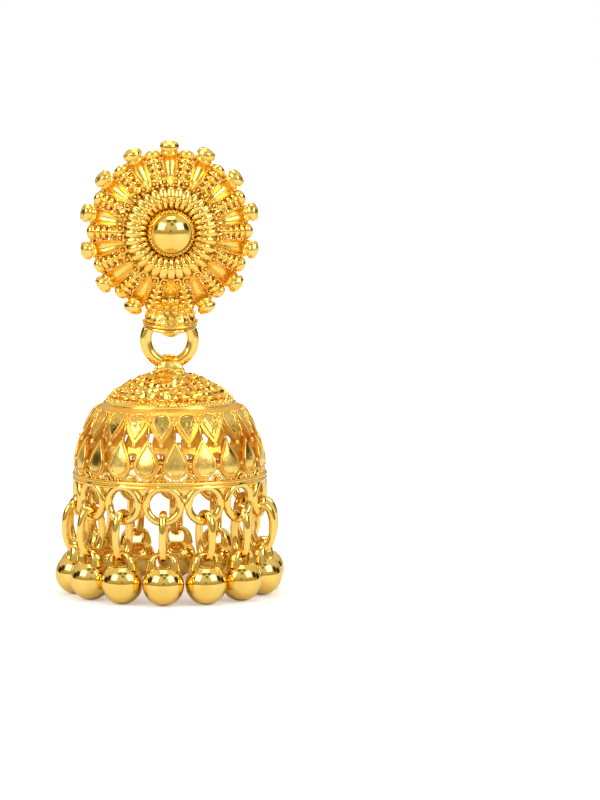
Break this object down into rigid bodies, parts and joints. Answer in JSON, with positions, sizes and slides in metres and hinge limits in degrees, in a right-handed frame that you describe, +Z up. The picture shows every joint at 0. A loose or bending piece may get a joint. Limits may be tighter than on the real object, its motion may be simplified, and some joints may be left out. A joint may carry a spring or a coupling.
{
  "type": "jhumka earring",
  "caption": "Drop earring: a domed flower stud on a post, a jump ring, and a granulated bell of openwork petals with a skirt of circles, oval links and hanging balls.",
  "frame": {"origin": "foot of the ear post, at the centre of the pad's back face, where the earring meets the ear lobe", "axes": "+Z up, the rosette faces -Y, the post points along +Y into the ear, the bell hangs down along -Z"},
  "size_m": [0.0222, 0.0235, 0.0438],
  "materials": {
    "polished_gold": "mirror-polished gold plate",
    "hammered_gold": "bright gold plate, lightly hammered petals with raised polished edges",
    "cast_gold": "bright gold plate over fine cast granulation and filigree"
  },
  "bodies": {
    "stud": {"rosette": "cast_gold", "flower_collar": "polished_gold", "centre_boss": "polished_gold", "ear_post": "polished_gold"},
    "ring": {"jump_ring": "polished_gold"},
    "bell": {"bell_cap": "cast_gold", "bell_dome": "hammered_gold", "bell_skirt": "polished_gold", "drop_link_01": "polished_gold", "drop_link_02": "polished_gold", "drop_link_03": "polished_gold", "drop_link_04": "polished_gold", "drop_link_05": "polished_gold", "drop_link_06": "polished_gold", "drop_link_07": "polished_gold", "drop_link_08": "polished_gold", "drop_link_09": "polished_gold", "drop_link_10": "polished_gold", "drop_link_11": "polished_gold", "drop_link_12": "polished_gold", "drop_link_13": "polished_gold", "drop_link_14": "polished_gold", "drop_ball_01": "polished_gold", "drop_ball_02": "polished_gold", "drop_ball_03": "polished_gold", "drop_ball_04": "polished_gold", "drop_ball_05": "polished_gold", "drop_ball_06": "polished_gold", "drop_ball_07": "polished_gold", "drop_ball_08": "polished_gold", "drop_ball_09": "polished_gold", "drop_ball_10": "polished_gold", "drop_ball_11": "polished_gold", "drop_ball_12": "polished_gold", "drop_ball_13": "polished_gold", "drop_ball_14": "polished_gold"}
  },
  "joints": [
    {"name": "ring_swing", "type": "hinge", "parent": "stud", "child": "ring", "pos_m": [0, -0.0014, -0.00826], "axis": [1, 0, 0], "range_deg": [-20, 60]},
    {"name": "bell_swing", "type": "hinge", "parent": "ring", "child": "bell", "pos_m": [0, -0.0014, -0.01053], "axis": [0, 1, 0], "range_deg": [-40, 40]}
  ]
}
